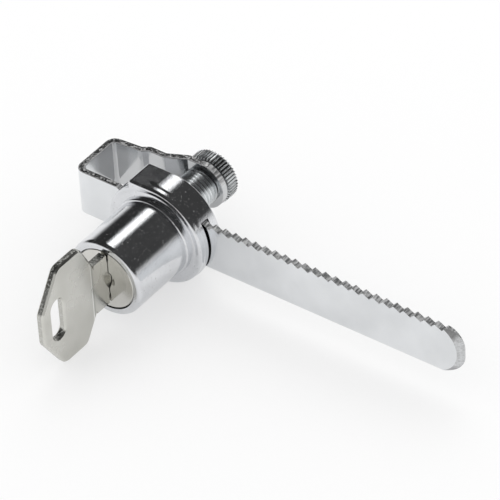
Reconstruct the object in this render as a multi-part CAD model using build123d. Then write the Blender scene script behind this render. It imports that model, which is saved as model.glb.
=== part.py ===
from build123d import *
import math
import os

# Ratchet lock for sliding glass doors: a serrated strip with a hook, a lock
# body that slides along it, and a clamp screw through the hook's back leg.
# X runs along the serrated strip towards its tip, Y runs back towards the
# glass and Z is up. The origin is on the lock's axis, at mid height of the
# strip, on the strip's rear face, which the glass lies against.

# Strip
strip_height = 11.2
strip_thick = 1.5
strip_tip_x = 74.2
tip_corner_radius = 4.6
tip_face_margin = 0.5
tip_face_x = 73.1
web_outer_x = -23.3
bend_inner_radius = 0.9
strip_edge_round = 0.25

# Serration
tooth_pitch = 2.5
tooth_depth = 0.9
tooth_slope_share = 0.65
tooth_count = 33
tooth_first_x = -12.09

# Hook's back leg, by the rear face of each stretch
leg_root_y = 11.8
leg_rise_y = 12.35
leg_rise_x = -15.4
leg_step_y = 13.4
leg_step_x = -13.9
leg_ramp_x = -9.9
eye_rear_y = 15.6
eye_start_x = -5.2
leg_bend_radius = 1.2

# Lock body
barrel_radius = 9.0
barrel_front_y = -21.2
barrel_back_y = -5.7
barrel_rim_fillet = 0.9
collar_radius = 9.4
collar_edge_round = 0.4
flange_overhang = 0.15
flange_dome = 2.4
flange_front_y = -4.7
hood_radius = 11.9
hood_corner_x = -6.35
hood_corner_fillet = 0.9
hood_front_round = 0.7
hood_front_y = -4.5
casting_back_y = 1.5
back_plate_thick = 1.2
rear_edge_round = 0.45
slot_side_gap = 0.45
slot_end_gap = 0.25

# Plug and its bore
plug_radius = 7.35
plug_front_y = -21.1
plug_back_y = -6.4
plug_running_gap = 0.05
plug_face_bevel = 0.35
bore_back_gap = 0.1
tail_radius = 3.4
tail_end_y = -3.4
countersink_radius = 2.4
countersink_depth = 0.9

# Retaining clip on the plug's tail
clip_radius = 4.9
clip_thick = 0.6
clip_groove_depth = 0.6
clip_gap = 0.1
clip_opening = 3.0
clip_pocket_depth = 0.95

# Crank pin on the tail that lifts the pawl
crank_offset = 1.25
crank_radius = 1.0
crank_length = 1.45
crank_start_deg = 45.0
crank_slot_gap = 0.08
crank_slot_travel = 0.75

# Pawl
pawl_half_width = 4.0
pawl_side_gap = 0.15
pawl_plate_thick = 1.2
pawl_plate_front_y = -3.1
pawl_bottom_z = -2.7
pawl_head_top_z = 8.65
pawl_back_gap = 0.15
pawl_tooth_gap = 0.15
chamber_front_y = -3.25
chamber_bottom_z = -4.7
chamber_roof = 1.75

# Springs
pawl_spring_radius = 1.0
pawl_spring_wire = 0.3
pawl_spring_turns = 3
pawl_spring_pocket = 0.6
pawl_spring_y = -1.35
spring_seat_gap = 0.02
wafer_spring_radius = 0.3
wafer_spring_wire = 0.15
wafer_spring_turns = 5
wafer_spring_inset = 0.55

# Wafers
wafer_count = 5
wafer_thick = 0.9
wafer_spacing = 2.2
wafer_first_y = -18.0
wafer_half_width = 2.2
wafer_half_height = 6.5
wafer_gap = 0.05
wafer_drop = 0.4
wafer_groove_gap = 0.3
wafer_lug_x = 3.6
wafer_lug_low_z = -1.1
wafer_lug_high_z = 0.1
wafer_spring_top_z = 3.2

# Key
key_thick = 1.8
blade_low_z = -3.7
blade_high_z = 5.0
blade_tip_y = -7.4
blade_tip_bevel = 2.4
keyway_gap = 0.12
wafer_window_gap = 0.25
bitting_depths = (0.6, 1.2, 0.4, 0.9, 0.7)
bitting_flat = 0.7
blade_groove_depth = 0.4
blade_groove_width = 1.2
shank_low_z = -5.8
shank_high_z = 6.7
shank_end_gap = 0.3
bow_centre_z = 1.2
bow_half_height = 12.6
bow_shoulder_y = -25.5
bow_near_y = -29.1
bow_far_corner_y = -36.5
bow_end_y = -42.3
bow_end_half_height = 3.6
bow_fillet = 2.2
bow_edge_break = 0.4
bow_hole_y = -37.5
bow_hole_width = 3.7
bow_hole_height = 9.8

# Clamp screw, knob and pad
screw_x = -1.7
screw_radius = 4.25
screw_pitch = 0.9
screw_thread_depth = 0.45
thread_flank_start = 0.15
thread_crest_start = 0.5
thread_crest_end = 0.65
screw_front_y = 4.4
screw_eye_gap = 0.06
knob_gap = 0.3
knob_radius = 5.9
knob_length = 3.3
knob_bevel = 0.4
knurl_count = 48
knurl_depth = 0.3
pad_radius = 3.4
pad_front_gap = 0.4
pad_face_gap = 0.05
pad_pin_radius = 1.2
pad_pin_length = 1.8
pad_running_gap = 0.05

# Rivets that hold the back plate, by their angles about the axis
rivet_angles = (48.0, 238.0, 302.0)
rivet_inset = 2.0
rivet_radius = 0.8
rivet_head_radius = 1.2
rivet_head_depth = 0.5
rivet_depth = 2.2
rivet_gap = 0.02

flange_radius = hood_radius + flange_overhang
half_height = strip_height / 2
slot_front_y = -strip_thick - slot_side_gap
slot_back_y = slot_side_gap
plate_back_y = casting_back_y + back_plate_thick
pawl_head_back_y = slot_back_y - pawl_back_gap
chamber_top_z = hood_radius - chamber_roof
valley_offset = tooth_pitch * tooth_slope_share
crank_lift = 2 * crank_offset * math.sin(math.radians(crank_start_deg))
rivet_ring = hood_radius - rivet_inset
rivet_turns = [math.radians(angle) for angle in rivet_angles]
rivet_places = [(rivet_ring * math.cos(turn), rivet_ring * math.sin(turn)) for turn in rivet_turns]


def slab(profile, low_y, high_y):
    """Extrudes an X-Z profile from low_y to high_y."""
    return Pos(0, high_y, 0) * extrude(Plane.XZ * profile, amount=high_y - low_y)


def block(x, y, z):
    """A box between the two limits given for each axis."""
    size = [span[1] - span[0] for span in (x, y, z)]
    middle = [(span[0] + span[1]) / 2 for span in (x, y, z)]
    return Pos(*middle) * Box(*size)


def rod(radius, low_y, high_y, x=0, z=0):
    """A cylinder along Y."""
    return slab(Pos(x, z) * Circle(radius), low_y, high_y)


def turned(points):
    """Turns an outline of (radius, y) points about the lock's axis."""
    return revolve(make_face(Polyline(*points, close=True)), Axis.Y)


def sawtooth(first_x, count, top_z):
    """Points of a serrated edge, from one peak to the last."""
    points = [(first_x, top_z)]
    for index in range(count):
        peak = first_x + index * tooth_pitch
        points.append((peak + valley_offset, top_z - tooth_depth))
        points.append((peak + tooth_pitch, top_z))
    return points


def coil(radius, wire, turns, low_z, high_z):
    """A spring along Z between two flat seats."""
    rise = high_z - low_z - wire
    path = Helix(pitch=rise / turns, height=rise, radius=radius)
    start = Plane(origin=path @ 0, z_dir=path % 0)
    return Pos(0, 0, low_z + wire / 2) * sweep(start * Circle(wire / 2), path=path)


def ratchet_strip():
    middle_y = -strip_thick / 2
    web_x = web_outer_x + strip_thick / 2
    half = strip_thick / 2
    outer_radius = bend_inner_radius + half
    route = FilletPolyline(
        (strip_tip_x, middle_y),
        (web_x, middle_y),
        (web_x, leg_root_y - half),
        (leg_rise_x, leg_rise_y - half),
        (leg_step_x, leg_step_y - half),
        (leg_ramp_x, leg_step_y - half),
        (eye_start_x, eye_rear_y - half),
        (screw_x + half_height, eye_rear_y - half),
        radius=2 * [outer_radius] + 4 * [leg_bend_radius],
    )
    section = trace(route, line_width=strip_thick)
    strip = Pos(0, 0, -half_height) * extrude(section, amount=strip_height)
    flat_ends = strip.faces().sort_by(Axis.Z)
    strip = fillet(flat_ends[0].edges() + flat_ends[-1].edges(), strip_edge_round)
    toothed = (tooth_first_x, tooth_first_x + tooth_count * tooth_pitch)
    strip += block(toothed, (-strip_thick, 0), (half_height - 2 * tooth_depth, half_height))

    # Rounded tip on the front leg and rounded eye on the back leg
    tip_square = Pos(strip_tip_x - tip_corner_radius, 0) * Rectangle(
        tip_corner_radius, strip_height, align=(Align.MIN, Align.CENTER)
    )
    tip_round = fillet(tip_square.vertices().group_by(Axis.X)[-1], tip_corner_radius)
    strip -= slab(tip_square - tip_round, -2 * strip_thick, strip_thick)
    eye_square = Pos(screw_x) * Rectangle(half_height, strip_height, align=(Align.MIN, Align.CENTER))
    eye_span = (leg_step_y - strip_thick / 2, eye_rear_y + strip_thick)
    strip -= slab(eye_square - Pos(screw_x) * Circle(half_height), *eye_span)
    strip -= rod(screw_radius + screw_eye_gap, *eye_span, x=screw_x)

    # Bevel round the tip's front edge, as part of a cone that fades out at the sides
    tip_face_radius = half_height + tip_face_margin
    cone_x = tip_face_x - tip_face_radius
    wide = tip_face_radius + strip_thick
    cone = Pos(cone_x) * turned([(0, -strip_thick), (tip_face_radius, -strip_thick), (wide, 0), (0, 0)])
    tip_zone = block((cone_x, strip_tip_x + 1), (-strip_thick, 0), (-strip_height, strip_height))
    strip -= tip_zone - cone

    # Serration along the top of the front leg
    top = sawtooth(tooth_first_x, tooth_count, half_height)
    over = half_height + tooth_depth
    notches = make_face(Polyline(*top, (top[-1][0], over), (top[0][0], over), close=True))
    return strip - slab(notches, -2 * strip_thick, strip_thick)


def hood_profile(radius):
    """Round profile whose upper left corner is square."""
    square = Pos(hood_corner_x, 0) * Rectangle(-hood_corner_x, radius, align=(Align.MIN, Align.MIN))
    square = fillet(square.vertices().sort_by(Axis.Y)[-2:].sort_by(Axis.X)[:1], hood_corner_fillet)
    return Circle(radius) + square


def lock_body():
    barrel = rod(barrel_radius, barrel_front_y, flange_front_y)
    barrel = fillet(barrel.edges().sort_by(Axis.Y)[0], barrel_rim_fillet)
    collar = rod(collar_radius, barrel_back_y, flange_front_y + 0.1)
    collar = fillet(collar.edges().sort_by(Axis.Y)[0], collar_edge_round)

    # Domed flange in front of the strip
    dome_y = flange_front_y + flange_dome
    inner = flange_radius - flange_dome
    outline = Polyline(
        (inner, flange_front_y),
        (0, flange_front_y),
        (0, slot_front_y),
        (flange_radius, slot_front_y),
        (flange_radius, dome_y),
    )
    bulge = CenterArc((inner, dome_y), flange_dome, 0, -90)
    flange = revolve(make_face(outline + bulge), Axis.Y)

    # Hood over the strip and the wall behind it
    hood = slab(hood_profile(hood_radius), hood_front_y, casting_back_y)
    hood = fillet(hood.faces().sort_by(Axis.Y)[0].edges(), hood_front_round)
    body = barrel + collar + flange + hood

    # Slot for the strip, open at both sides
    side = flange_radius + 1
    slot_z = (-half_height - slot_end_gap, half_height + slot_end_gap)
    body -= block((-side, side), (slot_front_y, slot_back_y), slot_z)
    over_left = block((-side, hood_corner_x), (slot_front_y, casting_back_y + 1), (half_height, side))
    body -= over_left

    # Bore, tail hole and clip pocket
    bore = plug_radius + plug_running_gap
    body -= rod(bore, barrel_front_y - 1, plug_back_y + bore_back_gap)
    body -= rod(tail_radius + plug_running_gap, plug_back_y, chamber_front_y)
    pocket_front = chamber_front_y - clip_pocket_depth
    body -= rod(clip_radius + clip_gap, pocket_front, chamber_front_y)

    # Chamber for the pawl, open at the back
    half = pawl_half_width + pawl_side_gap
    body -= block((-half, half), (chamber_front_y, slot_front_y), (chamber_bottom_z, chamber_top_z))
    body -= block((-half, half), (chamber_front_y, casting_back_y + 1), (half_height, chamber_top_z))

    # Grooves that the wafers drop into
    groove = wafer_half_width + 2 * wafer_gap
    reach = plug_radius + wafer_groove_gap
    low_y = wafer_y(0) - wafer_thick
    high_y = wafer_y(wafer_count - 1) + wafer_thick
    body -= block((-groove, groove), (low_y, high_y), (-reach, reach))
    for x, z in rivet_places:
        body -= rod(rivet_radius + rivet_gap, casting_back_y - rivet_depth, casting_back_y + 1, x, z)
    return body


def back_plate():
    plate = slab(hood_profile(hood_radius), casting_back_y, plate_back_y)
    over_left = block((-flange_radius, hood_corner_x), (0, plate_back_y + 1), (half_height, flange_radius))
    plate -= over_left
    rear = plate.faces().sort_by(Axis.Y)[-1]
    plate = fillet(rear.edges(), rear_edge_round)
    for x, z in rivet_places:
        plate -= rod(rivet_radius + rivet_gap, casting_back_y - 1, plate_back_y + 1, x, z)
        seat_y = plate_back_y - rivet_head_depth
        plate -= rod(rivet_head_radius + rivet_gap, seat_y, plate_back_y + 1, x, z)
    return plate


def rivet(x, z):
    shank = rod(rivet_radius, casting_back_y - rivet_depth, plate_back_y - rivet_head_depth, x, z)
    head = rod(rivet_head_radius, plate_back_y - rivet_head_depth, plate_back_y, x, z)
    return shank + head


def wafer_y(index):
    return wafer_first_y + index * wafer_spacing


def plug():
    drum = rod(plug_radius, plug_front_y, plug_back_y)
    drum = chamfer(drum.edges().sort_by(Axis.Y)[0], plug_face_bevel)
    tail = rod(tail_radius, plug_back_y, tail_end_y)
    angle = math.radians(crank_start_deg)
    crank_x = crank_offset * math.cos(angle)
    crank_z = crank_offset * math.sin(angle)
    crank = rod(crank_radius, tail_end_y, tail_end_y + crank_length, crank_x, crank_z)
    body = drum + tail + crank

    # Groove that the clip sits in
    clip_y = chamber_front_y - clip_pocket_depth + clip_gap
    ring = rod(tail_radius + 1, clip_y - clip_gap / 2, clip_y + clip_thick + clip_gap / 2)
    body -= ring - rod(tail_radius - clip_groove_depth, clip_y - 1, clip_y + 2)

    # Keyway and the countersink round it
    half = key_thick / 2 + keyway_gap
    tip = blade_tip_y + keyway_gap * 2
    height = (blade_low_z - keyway_gap, blade_high_z + keyway_gap)
    body -= block((-half, half), (plug_front_y - 1, tip), height)
    rim = (countersink_radius, plug_front_y)
    floor_y = plug_front_y + countersink_depth
    body -= turned([(0, plug_front_y), rim, (countersink_radius / 2, floor_y), (0, floor_y)])

    # Slots for the wafers and pockets for their springs
    for index in range(wafer_count):
        middle = wafer_y(index)
        span = (middle - wafer_thick / 2 - wafer_gap, middle + wafer_thick / 2 + wafer_gap)
        wide = wafer_half_width + wafer_gap
        body -= block((-wide, wide), span, (-plug_radius, plug_radius))
        lug = (0, wafer_lug_x + wafer_gap)
        lug_end = wafer_lug_low_z - wafer_drop - wafer_gap
        body -= block(lug, span, (lug_end, wafer_spring_top_z))
    return body


def plug_clip():
    clip_y = chamber_front_y - clip_pocket_depth + clip_gap
    ring = rod(clip_radius, clip_y, clip_y + clip_thick)
    ring -= rod(tail_radius - clip_groove_depth + plug_running_gap, clip_y - 1, clip_y + 1)
    half = clip_opening / 2
    return ring - block((-half, half), (clip_y - 1, clip_y + 1), (-clip_radius - 1, -tail_radius / 2))


def wafer(index):
    middle = wafer_y(index)
    span = (middle - wafer_thick / 2, middle + wafer_thick / 2)
    width = (-wafer_half_width, wafer_half_width)
    plate = block(width, span, (wafer_drop - wafer_half_height, wafer_half_height))
    plate += block((0, wafer_lug_x), span, (wafer_lug_low_z, wafer_lug_high_z))
    half = key_thick / 2 + keyway_gap
    low = blade_low_z - wafer_window_gap
    high = blade_high_z + wafer_window_gap + wafer_drop
    return plate - block((-half, half), (span[0] - 1, span[1] + 1), (low, high))


def wafer_spring(index):
    low = wafer_lug_high_z + spring_seat_gap
    high = wafer_spring_top_z - spring_seat_gap
    spring = coil(wafer_spring_radius, wafer_spring_wire, wafer_spring_turns, low, high)
    return Pos(wafer_lug_x - wafer_spring_inset, wafer_y(index), 0) * spring


def key_bow():
    z = bow_centre_z
    points = [
        (bow_shoulder_y, shank_high_z),
        (bow_near_y, z + bow_half_height),
        (bow_far_corner_y, z + bow_half_height),
        (bow_end_y, z + bow_end_half_height),
        (bow_end_y, z - bow_end_half_height),
        (bow_far_corner_y, z - bow_half_height),
        (bow_near_y, z - bow_half_height),
        (bow_shoulder_y, shank_low_z),
    ]
    face = make_face(Plane.YZ * Polyline(*points, close=True))
    bow = extrude(face, amount=key_thick / 2, both=True)
    upright = bow.edges().filter_by(Axis.X).group_by(Axis.Y)
    bow = fillet([e for group in upright[:-1] for e in group], bow_fillet)
    hole = Plane.YZ * Pos(bow_hole_y, z) * SlotOverall(bow_hole_height, bow_hole_width, rotation=90)
    return bow - extrude(hole, amount=key_thick, both=True)


def key():
    half = key_thick / 2
    bow = key_bow()
    flat = bow.faces().filter_by(Axis.X)
    bow = chamfer(flat.edges().filter_by(lambda e: e.center().Y < bow_shoulder_y - 1), bow_edge_break)
    shank_span = (bow_shoulder_y, plug_front_y - shank_end_gap)
    shank = block((-half, half), shank_span, (shank_low_z, shank_high_z))
    outline = Polyline(
        (bow_shoulder_y, blade_low_z),
        (blade_tip_y - blade_tip_bevel, blade_low_z),
        (blade_tip_y, (blade_low_z + blade_high_z) / 2 - 1),
        (blade_tip_y, (blade_low_z + blade_high_z) / 2 + 1),
        (blade_tip_y - blade_tip_bevel, blade_high_z),
        (bow_shoulder_y, blade_high_z),
        close=True,
    )
    blade = extrude(make_face(Plane.YZ * outline), amount=half, both=True)
    for index, depth in enumerate(bitting_depths):
        y = wafer_y(index)
        low = blade_high_z - depth
        cut = Polyline(
            (y - bitting_flat / 2, low),
            (y + bitting_flat / 2, low),
            (y + bitting_flat / 2 + depth, blade_high_z + 0.01),
            (y - bitting_flat / 2 - depth, blade_high_z + 0.01),
            close=True,
        )
        blade -= extrude(make_face(Plane.YZ * cut), amount=key_thick, both=True)

    # Long grooves milled in both sides of the blade
    groove_z = (blade_low_z + blade_high_z) / 2
    for side in (-1, 1):
        inner = side * (half - blade_groove_depth)
        outer = side * (half + 1)
        span = (min(inner, outer), max(inner, outer))
        low = groove_z - side * blade_groove_width - blade_groove_width / 2
        length = (plug_front_y + blade_groove_width, blade_tip_y + 1)
        blade -= block(span, length, (low, low + blade_groove_width))
    return bow + shank + blade


def pawl():
    # Teeth that match the strip's, held above them by the crank
    first = tooth_first_x + 2 * tooth_pitch
    edge = half_height + pawl_tooth_gap + crank_lift
    points = sawtooth(first, 5, edge)
    top = pawl_head_top_z
    teeth = make_face(Polyline(*points, (points[-1][0], top), (points[0][0], top), close=True))
    head = slab(teeth, pawl_plate_front_y, pawl_head_back_y)
    width = (-pawl_half_width, pawl_half_width)
    head &= block(width, (pawl_plate_front_y, pawl_head_back_y), (0, top))
    plate_back = pawl_plate_front_y + pawl_plate_thick
    plate = block(width, (pawl_plate_front_y, plate_back), (pawl_bottom_z, top))
    body = head + plate

    # Slot that the crank pin works in
    angle = math.radians(crank_start_deg)
    slot_x = crank_offset * (1 + math.cos(angle)) / 2
    slot_z = crank_offset * math.sin(angle)
    height = 2 * (crank_radius + crank_slot_gap)
    slot = Pos(slot_x, slot_z) * SlotOverall(height + crank_slot_travel, height)
    body -= slab(slot, pawl_plate_front_y - 1, plate_back + 1)
    seat = top - pawl_spring_pocket
    width = pawl_spring_radius + pawl_spring_wire
    pocket = Cylinder(width, top, align=(Align.CENTER, Align.CENTER, Align.MIN))
    return body - Pos(0, pawl_spring_y, seat) * pocket


def pawl_spring():
    low = pawl_head_top_z - pawl_spring_pocket + spring_seat_gap
    high = chamber_top_z - spring_seat_gap
    spring = coil(pawl_spring_radius, pawl_spring_wire, pawl_spring_turns, low, high)
    return Pos(0, pawl_spring_y, 0) * spring


def clamp_screw():
    back = eye_rear_y + knob_gap + knob_length
    root = screw_radius - screw_thread_depth
    turns = int((eye_rear_y + knob_gap - screw_front_y) / screw_pitch)
    points = [(0, screw_front_y), (root, screw_front_y)]
    for index in range(turns):
        start = screw_front_y + index * screw_pitch
        points.append((root, start + screw_pitch * thread_flank_start))
        points.append((screw_radius, start + screw_pitch * thread_crest_start))
        points.append((screw_radius, start + screw_pitch * thread_crest_end))
        points.append((root, start + screw_pitch))
    points += [(root, back), (0, back)]
    screw = turned(points)
    hole = pad_pin_radius + pad_running_gap
    screw -= rod(hole, screw_front_y - 1, screw_front_y + pad_pin_length)
    return Pos(screw_x) * screw


def clamp_knob():
    low = eye_rear_y + knob_gap
    high = low + knob_length
    knob = rod(knob_radius, low, high)
    knob = chamfer(knob.edges(), knob_bevel)
    notch_side = knurl_depth * math.sqrt(2)
    notch = Pos(knob_radius, 0) * Rotation(0, 0, 45) * Rectangle(notch_side, notch_side)
    for index in range(knurl_count):
        knob -= slab(Rotation(0, 0, index * 360 / knurl_count) * notch, low - 1, high + 1)
    knob -= rod(screw_radius - screw_thread_depth, low - 1, high + 1)
    return Pos(screw_x) * knob


def clamp_pad():
    face = screw_front_y - pad_face_gap
    disc = rod(pad_radius, plate_back_y + pad_front_gap, face, x=screw_x)
    pin = rod(pad_pin_radius, face, screw_front_y + pad_pin_length - pad_face_gap, x=screw_x)
    return disc + pin


def build():
    parts = {
        "ratchet_strip": ratchet_strip(),
        "lock_body": lock_body(),
        "back_plate": back_plate(),
        "plug": plug(),
        "plug_clip": plug_clip(),
        "key": key(),
        "pawl": pawl(),
        "pawl_spring": pawl_spring(),
        "clamp_screw": clamp_screw(),
        "clamp_knob": clamp_knob(),
        "clamp_pad": clamp_pad(),
    }
    for index in range(wafer_count):
        parts[f"wafer_{index + 1}"] = wafer(index)
        parts[f"wafer_spring_{index + 1}"] = wafer_spring(index)
    for index, (x, z) in enumerate(rivet_places):
        parts[f"rivet_{index + 1}"] = rivet(x, z)
    return parts


os.makedirs("parts", exist_ok=True)
for name, shape in build().items():
    export_step(shape, f"parts/{name}.step")
print("pawl drop", round(crank_lift, 4), "mm per quarter turn")
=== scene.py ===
import math

import bpy
from mathutils import Matrix, Vector


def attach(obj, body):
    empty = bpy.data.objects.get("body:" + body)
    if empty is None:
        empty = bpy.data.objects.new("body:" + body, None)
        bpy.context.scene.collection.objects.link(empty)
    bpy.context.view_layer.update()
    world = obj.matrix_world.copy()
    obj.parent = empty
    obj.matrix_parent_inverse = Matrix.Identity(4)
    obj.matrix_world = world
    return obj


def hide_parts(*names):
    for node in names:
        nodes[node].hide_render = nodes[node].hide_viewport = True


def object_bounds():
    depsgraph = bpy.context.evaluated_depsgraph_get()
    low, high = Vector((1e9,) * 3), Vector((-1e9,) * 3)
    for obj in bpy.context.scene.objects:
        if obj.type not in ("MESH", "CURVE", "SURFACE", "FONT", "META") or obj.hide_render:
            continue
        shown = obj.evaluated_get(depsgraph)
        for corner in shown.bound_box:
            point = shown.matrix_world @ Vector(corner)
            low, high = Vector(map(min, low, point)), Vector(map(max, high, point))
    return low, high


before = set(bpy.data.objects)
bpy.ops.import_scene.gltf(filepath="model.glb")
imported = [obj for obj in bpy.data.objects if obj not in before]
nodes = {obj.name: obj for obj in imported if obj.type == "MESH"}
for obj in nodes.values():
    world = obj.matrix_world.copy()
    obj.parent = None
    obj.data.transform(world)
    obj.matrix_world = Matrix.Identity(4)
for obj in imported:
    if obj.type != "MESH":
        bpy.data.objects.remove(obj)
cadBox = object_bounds()
scene = bpy.context.scene
print("frame loaded with", len(nodes), "nodes")

# Camera: degrees and metres, and the focal length in pixels of a 500 pixel picture
photoView = {
    "azimuth": 38.302,
    "elevation": 39.626,
    "roll": -3.296,
    "focalPixels": 3829.92,
    "pictureWidth": 500.0,
    "sensorWidth": 36.0,
    "clipStart": 0.01,
    "distance": 0.794964,
    "across": 0.01708,
    "up": -0.005451,
}


def aimCamera(view):
    azimuth = math.radians(view["azimuth"])
    elevation = math.radians(view["elevation"])
    roll = math.radians(view["roll"])
    flat = math.cos(elevation)
    away = Vector((math.sin(azimuth) * flat, -math.cos(azimuth) * flat, math.sin(elevation)))
    levelRight = Vector((math.cos(azimuth), math.sin(azimuth), 0.0))
    levelUp = away.cross(levelRight)
    right = math.cos(roll) * levelRight + math.sin(roll) * levelUp
    top = math.cos(roll) * levelUp - math.sin(roll) * levelRight
    data = bpy.data.cameras.new("photoCamera")
    data.sensor_width = view["sensorWidth"]
    data.lens = view["focalPixels"] * view["sensorWidth"] / view["pictureWidth"]
    data.clip_start = view["clipStart"]
    camera = bpy.data.objects.new("photoCamera", data)
    scene.collection.objects.link(camera)
    place = away * view["distance"] + right * view["across"] + top * view["up"]
    camera.matrix_world = Matrix.Translation(place) @ Matrix((right, top, away)).transposed().to_4x4()
    scene.camera = camera


aimCamera(photoView)
print("camera set")


class Field:  # a shader socket that can stand in a sum
    def __init__(self, maker, socket):
        self.maker = maker
        self.socket = socket

    def maths(self, kind, first, second=0.0):
        return self.maker.add("Math", {"operation": kind}, {0: first, 1: second})

    def __add__(self, other):
        return self.maths("ADD", self, other)

    def __radd__(self, other):
        return self.maths("ADD", other, self)

    def __sub__(self, other):
        return self.maths("SUBTRACT", self, other)

    def __rsub__(self, other):
        return self.maths("SUBTRACT", other, self)

    def __mul__(self, other):
        return self.maths("MULTIPLY", self, other)

    def __rmul__(self, other):
        return self.maths("MULTIPLY", other, self)

    def __truediv__(self, other):
        return self.maths("DIVIDE", self, other)

    def __rtruediv__(self, other):
        return self.maths("DIVIDE", other, self)

    def __abs__(self):
        return self.maths("ABSOLUTE", self)

    def root(self):
        return self.maths("SQRT", self)

    def step(self, low, high):  # 0 at low, 1 at high, smooth between
        sockets = {"Value": self, "From Min": low, "From Max": high}
        return self.maker.add("MapRange", {"interpolation_type": "SMOOTHSTEP"}, sockets)


class Maker:  # adds nodes to one node tree
    def __init__(self, tree):
        self.tree = tree

    def add(self, kind, settings=None, sockets=None, out=0):  # a tuple of outputs gives a list of fields
        node = self.tree.nodes.new("ShaderNode" + kind)
        for name, value in (settings or {}).items():
            setattr(node, name, value)
        for place, value in (sockets or {}).items():
            self.join(node.inputs[place], value)
        if isinstance(out, tuple):
            return [Field(self, node.outputs[place]) for place in out]
        return Field(self, node.outputs[out])

    def join(self, socket, value):
        if isinstance(value, Field):
            self.tree.links.new(value.socket, socket)
        else:
            socket.default_value = value

    def split(self, vector):
        return self.add("SeparateXYZ", None, {0: vector}, (0, 1, 2))

    def faceNormal(self):
        return self.split(self.add("NewGeometry", out="True Normal"))

    def rays(self):
        return self.add("LightPath", out=("Is Camera Ray", "Is Glossy Ray"))

    def noise(self, point, scale, detail, roughness):
        sockets = {"Vector": point, "Scale": scale, "Detail": detail, "Roughness": roughness}
        return self.add("TexNoise", None, sockets)

    def blend(self, factor, first, second):  # a Mix node keeps its two colours at inputs 6 and 7
        return self.add("Mix", {"data_type": "RGBA"}, {0: factor, 6: first, 7: second}, 2)


def paint(red, green, blue):
    return (red, green, blue, 1.0)


white = paint(1.0, 1.0, 1.0)

# Metals: two tones that drift into each other, gloss that drifts too, and fine grain
metals = {
    "plating": {
        "light": paint(0.83, 0.845, 0.86),
        "dark": paint(0.74, 0.755, 0.77),
        "rough": 0.10,
        "drift": 0.08,
        "cloud": 90,
        "grain": 2600,
        "lift": 0.08,
    },
    "chrome": {
        "light": paint(0.75, 0.76, 0.78),
        "dark": paint(0.67, 0.68, 0.70),
        "rough": 0.05,
        "drift": 0.07,
        "cloud": 160,
        "grain": 3600,
        "lift": 2.6,
    },
    "nickel": {
        "light": paint(0.70, 0.69, 0.66),
        "dark": paint(0.62, 0.61, 0.58),
        "rough": 0.15,
        "drift": 0.12,
        "cloud": 140,
        "grain": 2200,
        "lift": 0.12,
    },
    "keyNickel": {
        "light": paint(0.68, 0.675, 0.635),
        "dark": paint(0.60, 0.595, 0.555),
        "rough": 0.20,
        "drift": 0.12,
        "cloud": 120,
        "grain": 2000,
        "lift": 0.14,
    },
    "zinc": {
        "light": paint(0.88, 0.90, 0.91),
        "dark": paint(0.76, 0.78, 0.79),
        "rough": 0.20,
        "drift": 0.10,
        "cloud": 300,
        "grain": 2600,
        "lift": 0.05,
    },
    "steel": {
        "light": paint(0.50, 0.50, 0.50),
        "dark": paint(0.40, 0.40, 0.40),
        "rough": 0.30,
        "drift": 0.12,
        "cloud": 200,
        "grain": 2400,
        "lift": 0.15,
    },
    "brass": {
        "light": paint(0.70, 0.55, 0.28),
        "dark": paint(0.58, 0.44, 0.20),
        "rough": 0.28,
        "drift": 0.12,
        "cloud": 200,
        "grain": 2400,
        "lift": 0.15,
    },
}
# A noise has detail and roughness; a pair in a step is where its mask starts and where it is full
clouding = {"noise": (3.0, 0.5), "tint": (0.3, 0.7), "gloss": (0.35, 0.75)}
graining = {"noise": (2.0, 0.6), "strength": 0.35, "height": 0.00002}


def newLook(name, metallic):
    material = bpy.data.materials.new(name)
    material.use_nodes = True
    shader = material.node_tree.nodes["Principled BSDF"]
    shader.inputs["Metallic"].default_value = metallic
    return material, Maker(material.node_tree), shader


def finishLook(maker, shader, tint, rough, height):
    sockets = {"Strength": graining["strength"], "Distance": graining["height"], "Height": height}
    maker.join(shader.inputs["Base Color"], tint)
    maker.join(shader.inputs["Roughness"], rough)
    maker.join(shader.inputs["Normal"], maker.add("Bump", None, sockets))


class Coat:  # a metal's surface, to which wear, painted shade and painted highlights are added before it goes to the shader
    def __init__(self, maker, finish):
        self.maker = maker
        self.point = maker.add("TexCoord", out="Object")
        cloud = maker.noise(self.point, finish["cloud"], *clouding["noise"])
        self.tint = maker.blend(cloud.step(*clouding["tint"]), finish["dark"], finish["light"])
        self.rough = cloud.step(*clouding["gloss"]) * finish["drift"] + finish["rough"]
        self.height = maker.noise(self.point, finish["grain"], *graining["noise"]) * finish["lift"]
        self.dull = 0.0

    def lay(self, mask, tone):
        self.tint = self.maker.blend(mask, self.tint, tone)


def metalLook(name, finish, wearAndPaintedLight=None, settings=None):
    material, maker, shader = newLook(name, 1.0)
    coat = Coat(maker, metals[finish])
    if wearAndPaintedLight:
        wearAndPaintedLight(coat, settings)
    maker.join(shader.inputs["Metallic"], 1.0 - coat.dull)
    finishLook(maker, shader, coat.tint, coat.rough, coat.height)
    return material


# Painted shade inside the hook
hookShade = {"depth": (0.003, 0.006), "facing": (0.3, 0.8), "share": 0.45, "tone": paint(0.36, 0.36, 0.36)}
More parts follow.
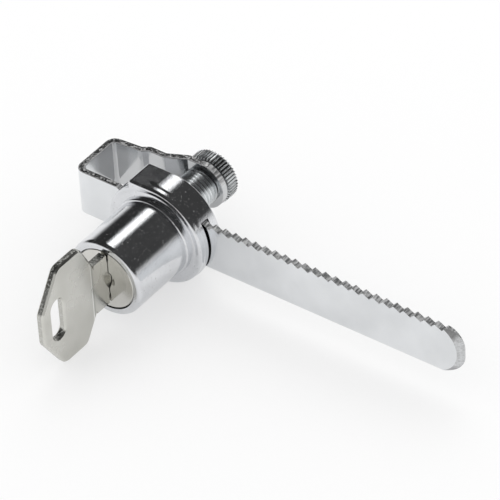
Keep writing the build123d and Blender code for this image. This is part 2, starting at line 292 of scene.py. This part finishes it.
# Sheared edges of the strip, with streaks across the sheet: the flat ones dull and dark, the teeth coarse and pale;
# also painted highlights on the upturned rounded edges and painted shade under the long edge
shearingAndPaintedLight = {
    "scale": 2400,
    "noise": (2.0, 0.7),
    "along": 0.15,
    "streaks": (0.35, 0.65),
    "flat": (0.9, 0.98),
    "flatRough": 0.06,
    "flatShare": 0.85,
    "flatTone": paint(0.12, 0.12, 0.12),
    "pits": (0.5, 0.6),
    "pitDull": 0.5,
    "rounded": (0.3, 0.5),
    "roundDull": 0.45,
    "toothSlope": (0.3, 0.6),
    "toothTurn": (0.1, 0.3),
    "toothPlace": (-0.0125, -0.0122),
    "toothEven": 0.6,
    "toothRough": 0.42,
    "toothDull": 0.6,
    "toothShare": 0.85,
    "toothTone": paint(0.06, 0.06, 0.06),
    "paleTone": paint(0.66, 0.66, 0.66),
    "tipPlace": (0.0665, 0.0675),
    "tipTurn": (0.85, 0.97),
    "tipEven": 0.5,
    "tipShare": 0.7,
    "tipTone": paint(0.34, 0.34, 0.34),
    "under": (-0.5, -0.3),
    "underShadeShare": 0.8,
    "underShadeTone": paint(0.20, 0.20, 0.21),
}


def shearEdgesAndPaintedLight(coat, edge):
    maker, point = coat.maker, coat.point
    faceX, faceY, faceZ = maker.faceNormal()
    x, y = maker.split(point)[:2]
    # Painted shade on the hook's inner faces, fading in from 3 to 6 mm along y
    inside = y.step(*hookShade["depth"]) * (faceX - faceY).step(*hookShade["facing"])
    coat.lay(inside * hookShade["share"], hookShade["tone"])
    squeezed = maker.add("Mapping", None, {"Vector": point, "Scale": (1.0, edge["along"], 1.0)})
    streaks = maker.noise(squeezed, edge["scale"], *edge["noise"]).step(*edge["streaks"])

    def streaked(even):
        return even + streaks * (1.0 - even)

    # Flat edges, then the flanks of the teeth
    flat = abs(faceZ).step(*edge["flat"])
    onTeeth = (1.0 - abs(faceY).step(*edge["toothTurn"])) * x.step(*edge["toothPlace"])
    tooth = abs(faceZ).step(*edge["toothSlope"]) * onTeeth * (1.0 - flat)
    coat.rough = coat.rough + flat * edge["flatRough"] + tooth * streaked(edge["toothEven"]) * edge["toothRough"]
    coat.lay(flat * edge["flatShare"], edge["flatTone"])
    coat.lay(tooth * edge["toothShare"], maker.blend(streaks, edge["toothTone"], edge["paleTone"]))
    # Pale pits in the flat edges, and a painted highlight on the rounded edges that face up
    pits = maker.noise(point, edge["scale"], *edge["noise"]).step(*edge["pits"]) * flat
    # Painted highlight: pale tone on the upturned rounded edges
    rounded = faceZ.step(*edge["rounded"]) * (1.0 - flat) * (1.0 - tooth)
    coat.lay(pits + rounded, edge["paleTone"])
    # Darker on the tip's bevel, and painted shade on the faces that turn down under the long edge
    bevel = (1.0 - abs(faceY).step(*edge["tipTurn"])) * (1.0 - tooth)
    tip = x.step(*edge["tipPlace"]) * bevel
    coat.lay(tip * streaked(edge["tipEven"]) * edge["tipShare"], edge["tipTone"])
    # Painted shade on the faces that turn down
    under = 1.0 - faceZ.step(*edge["under"])
    coat.lay(under * edge["underShadeShare"], edge["underShadeTone"])
    coat.dull = tooth * edge["toothDull"] + pits * edge["pitDull"] + rounded * edge["roundDull"]
    coat.height = coat.height + (flat + tooth) * streaks


# Fine dull specks that a mirror finish shows in its dark parts
specking = {"scale": 2600, "noise": (1.0, 0.5), "specks": (0.62, 0.82), "dull": 0.35, "tone": paint(0.70, 0.70, 0.70)}


def speckle(coat, speck):
    specks = coat.maker.noise(coat.point, speck["scale"], *speck["noise"]).step(*speck["specks"])
    coat.lay(specks, speck["tone"])
    coat.dull = specks * speck["dull"]


# Punched key: dark sides with pale pits, and across both faces where the bow meets the shank a painted highlight line
# with a band of painted shade behind it, standing in for a crease
punchingAndCreaseLight = {
    "lineY": -0.0265,
    "lineWide": 0.00025,
    "fadeWide": 0.0009,
    "creaseHighlightShare": 0.9,
    "creaseHighlightTone": paint(0.95, 0.95, 0.92),
    "creaseShadeShare": 0.45,
    "side": (0.2, 0.4),
    "sideShare": 0.5,
    "sideAndCreaseShadeTone": paint(0.30, 0.30, 0.28),
    "scale": 2200,
    "noise": (2.0, 0.7),
    "pits": (0.5, 0.62),
    "pitDull": 0.4,
    "pitTone": paint(0.60, 0.60, 0.57),
}


def punchSidesAndCreaseLight(coat, punch):
    maker, point = coat.maker, coat.point
    wide, fade = punch["lineWide"], punch["fadeWide"]
    across = maker.split(point)[1] - punch["lineY"]
    behindLine = across.step(0.0, wide)
    # Painted highlight just before the line, and painted shade in a band behind it
    creaseHighlight = across.step(-wide, 0.0) * (1.0 - behindLine)
    corner = behindLine * (1.0 - across.step(wide, fade))
    coat.lay(creaseHighlight * punch["creaseHighlightShare"], punch["creaseHighlightTone"])
    coat.lay(corner * punch["creaseShadeShare"], punch["sideAndCreaseShadeTone"])
    side = 1.0 - abs(maker.faceNormal()[0]).step(*punch["side"])
    pits = maker.noise(point, punch["scale"], *punch["noise"]).step(*punch["pits"]) * side
    coat.lay(side * punch["sideShare"], punch["sideAndCreaseShadeTone"])
    coat.lay(pits, punch["pitTone"])
    coat.dull = pits * punch["pitDull"]


clampAxisX = -0.0017

# Painted shade in the knob's grooves, in the thread's roots and in the gap round the plug: radii in metres, from
# shaded to plain
recessShades = {
    "knurl": {
        "axisX": clampAxisX,
        "radii": (0.00555, 0.00578),
        "tone": paint(0.16, 0.16, 0.16),
        "share": 0.85,
    },
    "thread": {
        "axisX": clampAxisX,
        "radii": (0.0039, 0.0042),
        "tone": paint(0.22, 0.22, 0.22),
        "share": 0.75,
    },
    "plugFace": {
        "axisX": 0.0,
        "radii": (0.00725, 0.00705),
        "tone": paint(0.04, 0.04, 0.04),
        "share": 0.9,
    },
}
# Faces across the axis get no painted shade
unshadedEnds = (0.75, 0.9)


def shadeRecesses(coat, recessShade):
    x, y, z = coat.maker.split(coat.point)
    awayX = x - recessShade["axisX"]
    radius = (awayX * awayX + z * z).root()
    sides = 1.0 - abs(coat.maker.faceNormal()[1]).step(*unshadedEnds)
    # Painted shade inside the given radius, on faces that do not face along the axis
    shaded = (1.0 - radius.step(*recessShade["radii"])) * sides
    coat.lay(shaded * recessShade["share"], recessShade["tone"])


nylonPad = {
    "light": paint(0.045, 0.045, 0.045),
    "dark": paint(0.03, 0.03, 0.03),
    "rough": 0.45,
    "drift": 0.15,
    "grain": 1800,
    "noise": (2.0, 0.5),
}


def nylonLook(name, nylon):
    material, maker, shader = newLook(name, 0.0)
    fine = maker.noise(maker.add("TexCoord", out="Object"), nylon["grain"], *nylon["noise"])
    tint = maker.blend(fine, nylon["dark"], nylon["light"])
    finishLook(maker, shader, tint, fine * nylon["drift"] + nylon["rough"], fine)
    return material


looks = {
    "plating": metalLook("plating", "plating", shearEdgesAndPaintedLight, shearingAndPaintedLight),
    "chrome": metalLook("chrome", "chrome", speckle, specking),
    "plugFace": metalLook("plugFace", "nickel", shadeRecesses, recessShades["plugFace"]),
    "keyNickel": metalLook("keyNickel", "keyNickel", punchSidesAndCreaseLight, punchingAndCreaseLight),
    "thread": metalLook("thread", "zinc", shadeRecesses, recessShades["thread"]),
    "knurl": metalLook("knurl", "zinc", shadeRecesses, recessShades["knurl"]),
    "steel": metalLook("steel", "steel"),
    "brass": metalLook("brass", "brass"),
    "nylon": nylonLook("nylon", nylonPad),
}
nodeLooks = {
    "ratchet_strip": "plating",
    "lock_body": "chrome",
    "back_plate": "chrome",
    "plug": "plugFace",
    "key": "keyNickel",
    "clamp_screw": "thread",
    "clamp_knob": "knurl",
    "clamp_pad": "nylon",
}


def dress(piece, look):
    piece.data.materials.clear()
    piece.data.materials.append(looks[look])


for name, piece in nodes.items():
    isWafer = name.startswith("wafer_") and "spring" not in name
    dress(piece, nodeLooks.get(name, "brass" if isWafer else "steel"))
print("materials set")


# Modelling helpers: parts of a mesh are picked by place or by the way a face looks
def startPiece(name):
    piece = bpy.context.object
    piece.name = name
    piece.data.name = name
    return piece


def pick(piece, test, faces=False):
    bpy.ops.object.mode_set(mode="EDIT")
    bpy.ops.mesh.select_mode(type="FACE" if faces else "VERT")
    bpy.ops.mesh.select_all(action="DESELECT")
    bpy.ops.object.mode_set(mode="OBJECT")
    for part in piece.data.polygons if faces else piece.data.vertices:
        part.select = bool(test(part))
    bpy.ops.object.mode_set(mode="EDIT")


def applyModifier(piece, kind, **settings):
    modifier = piece.modifiers.new(kind.title(), kind)
    for name, value in settings.items():
        setattr(modifier, name, value)
    bpy.ops.object.modifier_apply(modifier=modifier.name)


def closePiece(piece, look, body, replaced, smoothAngle):
    bpy.ops.object.mode_set(mode="EDIT")
    bpy.ops.mesh.select_all(action="SELECT")
    bpy.ops.mesh.normals_make_consistent(inside=False)
    bpy.ops.object.mode_set(mode="OBJECT")
    bpy.ops.object.transform_apply(location=True, rotation=True, scale=True)
    bpy.ops.object.shade_smooth_by_angle(angle=math.radians(smoothAngle))
    dress(piece, look)
    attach(piece, body)
    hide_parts(replaced)
    bpy.ops.object.select_all(action="DESELECT")


alongY = (math.radians(90), 0, 0)

clampThread = {
    "axisX": clampAxisX,
    "frontY": 0.0044,
    "endY": 0.016,
    "rootRadius": 0.0038,
    "crestHeight": 0.00045,
    "pitch": 0.0009,
    "profileCuts": 9,
    "profileSteps": (0.36, 0.16),
    "turnsBefore": 1.5,
    "turnsSpare": 3,
    "stepsPerTurn": 72,
    "weld": 0.000002,
    "cutReach": 0.0000005,
    "boreRadius": 0.00125,
    "boreDepth": 0.0018,
    "boreSides": 48,
    "smoothAngle": 40,
}


def buildClampThread(screw):
    pitch = screw["pitch"]
    startY = screw["frontY"] - screw["turnsBefore"] * pitch
    bpy.ops.object.select_all(action="DESELECT")
    bpy.ops.mesh.primitive_plane_add(size=pitch, location=(screw["axisX"], startY, 0))
    piece = startPiece("clampThread")
    # One edge of the plane becomes the profile of one turn, raised to the crest in equal steps
    pick(piece, lambda v: v.co.x < 0)
    bpy.ops.mesh.delete(type="VERT")
    bpy.ops.mesh.select_all(action="SELECT")
    bpy.ops.mesh.subdivide(number_cuts=screw["profileCuts"])
    bpy.ops.transform.translate(value=(screw["rootRadius"] - pitch / 2, 0, 0))
    rise = screw["crestHeight"] / len(screw["profileSteps"])
    for reach in screw["profileSteps"]:
        pick(piece, lambda v: abs(v.co.y) < reach * pitch)
        bpy.ops.transform.translate(value=(rise, 0, 0))
    bpy.ops.object.mode_set(mode="OBJECT")
    turns = math.ceil((screw["endY"] - screw["frontY"]) / pitch) + screw["turnsSpare"]
    steps = screw["stepsPerTurn"]
    winding = {"axis": "Y", "screw_offset": pitch, "iterations": turns, "steps": steps, "render_steps": steps}
    applyModifier(piece, "SCREW", use_merge_vertices=True, **winding)
    bpy.ops.object.mode_set(mode="EDIT")
    bpy.ops.mesh.select_all(action="SELECT")
    bpy.ops.mesh.remove_doubles(threshold=screw["weld"])
    bpy.ops.mesh.normals_make_consistent(inside=False)
    # Cut both ends square and close them
    cutting = {"use_fill": True, "clear_outer": True, "threshold": screw["cutReach"]}
    for y, side in ((screw["frontY"], -1), (screw["endY"], 1)):
        bpy.ops.mesh.select_all(action="SELECT")
        bpy.ops.mesh.bisect(plane_co=(0, y, 0), plane_no=(0, side, 0), **cutting)
    bpy.ops.object.mode_set(mode="OBJECT")
    # Bore for the pad's pin
    bpy.ops.mesh.primitive_cylinder_add(
        vertices=screw["boreSides"],
        radius=screw["boreRadius"],
        depth=2 * screw["boreDepth"],
        location=(screw["axisX"], screw["frontY"], 0),
        rotation=alongY,
    )
    drill = bpy.context.object
    bpy.ops.object.select_all(action="DESELECT")
    piece.select_set(True)
    bpy.context.view_layer.objects.active = piece
    applyModifier(piece, "BOOLEAN", operation="DIFFERENCE", solver="EXACT", object=drill)
    bpy.data.objects.remove(drill)
    closePiece(piece, "thread", "screw", "clamp_screw", screw["smoothAngle"])


buildClampThread(clampThread)
print("clamp screw cut")

knurledKnob = {
    "axisX": clampAxisX,
    "frontY": 0.0159,
    "length": 0.0033,
    "radius": 0.0059,
    "ridges": 48,
    "linesPerRidge": 4,
    "sunkLines": (0, 1),
    "grooveDepth": 0.0004,
    "rimSlope": 0.0002,
    "rimWidth": 0.0012,
    "recess": 0.00035,
    "recessTaper": 0.93,
    "endFacing": 0.9,
    "edgeBreak": 0.00003,
    "edgeAngle": 30,
    "smoothAngle": 25,
}


def buildKnurledKnob(knob):
    middleY = knob["frontY"] + knob["length"] / 2
    around = knob["ridges"] * knob["linesPerRidge"]
    centre = (knob["axisX"], middleY, 0)
    straight = knob["length"] - 2 * knob["rimSlope"]
    bpy.ops.object.select_all(action="DESELECT")
    bpy.ops.mesh.primitive_cylinder_add(
        vertices=around, radius=knob["radius"], depth=straight, location=centre, rotation=alongY
    )
    piece = startPiece("knurledKnob")
    bpy.ops.object.transform_apply(location=False, rotation=True, scale=False)

    def squeeze(share):
        bpy.ops.transform.resize(value=(share, 1, share), center_override=centre)

    def pushOut(distance):
        bpy.ops.mesh.extrude_region_move(TRANSFORM_OT_translate={"value": (0, distance, 0)})

    def pickEnd(side):
        big = knob["rimWidth"] ** 2
        pick(piece, lambda face: face.normal.y * side > knob["endFacing"] and face.area > big, True)

    # Sloped rims at both ends
    for side in (-1, 1):
        pickEnd(side)
        pushOut(side * knob["rimSlope"])
        squeeze(1 - (knob["rimSlope"] + knob["grooveDepth"]) / knob["radius"])

    # Two of every four lines along the rim sink in and leave straight ridges
    def inGroove(v):
        if abs(v.co.y) > straight / 2 + knob["rimSlope"] / 2:
            return False
        line = round(math.atan2(v.co.z, v.co.x) * around / (2 * math.pi))
        return line % knob["linesPerRidge"] in knob["sunkLines"]

    pick(piece, inGroove)
    squeeze(1 - knob["grooveDepth"] / knob["radius"])

    # A rim line on both ends, and a shallow recess in the back one
    for side in (-1, 1):
        pickEnd(side)
        bpy.ops.mesh.inset(thickness=knob["rimWidth"])
        if side > 0:
            pushOut(-knob["recess"])
            squeeze(knob["recessTaper"])
    bpy.ops.object.mode_set(mode="OBJECT")
    breaking = {"width": knob["edgeBreak"], "segments": 1, "angle_limit": math.radians(knob["edgeAngle"])}
    applyModifier(piece, "BEVEL", limit_method="ANGLE", **breaking)
    closePiece(piece, "knurl", "screw", "clamp_knob", knob["smoothAngle"])


buildKnurledKnob(knurledKnob)
print("knob knurled")

# Studio: pale floor, dark surroundings with one soft box, as polished metal sees them
studio = {
    "floorDrop": 0.0003,
    "floorRadius": 3.0,
    "floorSides": 96,
    "floorPaint": paint(0.93, 0.93, 0.93),
    "floorRough": 0.9,
    "floorSpecular": 0.1,
    "floorGlow": 0.55,
    "mirrorGlow": 0.30,
    "daylight": 0.95,
    "boxToward": (-0.286, 0.604, 0.744),
    "boxHalfWide": 0.127,
    "boxHalfTall": 0.26,
    "boxSoft": 0.055,
    "boxAhead": (0.0, 0.05),
    "boxLight": 1.6,
    "horizon": (0.02, 0.26),
    "horizonLight": 0.80,
    "darkTurn": (-0.3, 0.1),
    "darkRight": 0.055,
    "darkLeft": 0.03,
    "lampPower": 1.2,
    "lampPlace": (-0.2, 0.45, 0.70),
    "lampWide": 0.5,
    "lampTall": 0.7,
}


def layFloor():
    bpy.ops.object.select_all(action="DESELECT")
    bpy.ops.mesh.primitive_circle_add(
        vertices=studio["floorSides"],
        radius=studio["floorRadius"],
        fill_type="NGON",
        location=(0, 0, cadBox[0][2] - studio["floorDrop"]),
    )
    floor = startPiece("studioFloor")
    material, maker, shader = newLook("floorPaper", 0.0)
    shader.inputs["Base Color"].default_value = studio["floorPaint"]
    shader.inputs["Roughness"].default_value = studio["floorRough"]
    shader.inputs["Specular IOR Level"].default_value = studio["floorSpecular"]
    # The paper also glows a little for the camera and in reflections, so its shadow stays faint
    isCamera, isGlossy = maker.rays()
    glow = maker.add("Emission", None, {"Color": white, "Strength": 1.0})
    share = isCamera * studio["floorGlow"] + isGlossy * studio["mirrorGlow"]
    mixed = maker.add("MixShader", None, {0: share, 1: Field(maker, shader.outputs[0]), 2: glow})
    maker.join(material.node_tree.nodes["Material Output"].inputs["Surface"], mixed)
    floor.data.materials.append(material)


def paintSky():
    world = bpy.data.worlds.new("studioWorld")
    scene.world = world
    world.use_nodes = True
    maker = Maker(world.node_tree)
    background = world.node_tree.nodes["Background"]
    dirX, dirY, dirZ = maker.split(maker.add("TexCoord", out="Generated"))
    toward = Vector(studio["boxToward"]).normalized()
    sideways = toward.cross(Vector((0, 0, 1))).normalized()
    upward = sideways.cross(toward).normalized()

    def along(axis):
        return dirX * axis.x + dirY * axis.y + dirZ * axis.z

    ahead = along(toward)

    def within(axis, half):
        return 1.0 - abs(along(axis) / ahead).step(half - studio["boxSoft"], half + studio["boxSoft"])

    box = within(sideways, studio["boxHalfWide"]) * within(upward, studio["boxHalfTall"])
    box = box * ahead.step(*studio["boxAhead"])
    horizon = 1.0 - dirZ.step(*studio["horizon"])
    dark = dirX.step(*studio["darkTurn"]) * (studio["darkRight"] - studio["darkLeft"]) + studio["darkLeft"]
    sheen = box * studio["boxLight"] + horizon * studio["horizonLight"] + dark
    isCamera, isGlossy = maker.rays()
    plain = isGlossy * sheen + (1.0 - isGlossy) * studio["daylight"]
    maker.join(background.inputs["Strength"], isCamera + (1.0 - isCamera) * plain)
    maker.join(background.inputs["Color"], white)


def hangLamp():
    data = bpy.data.lights.new("softLamp", "AREA")
    data.shape = "RECTANGLE"
    data.size = studio["lampWide"]
    data.size_y = studio["lampTall"]
    data.energy = studio["lampPower"]
    lamp = bpy.data.objects.new("softLamp", data)
    scene.collection.objects.link(lamp)
    lamp.location = studio["lampPlace"]
    lamp.rotation_euler = Vector(lamp.location).to_track_quat("Z", "Y").to_euler()
    lamp.visible_glossy = False


layFloor()
paintSky()
hangLamp()
scene.view_settings.view_transform = "Standard"
print("studio set")
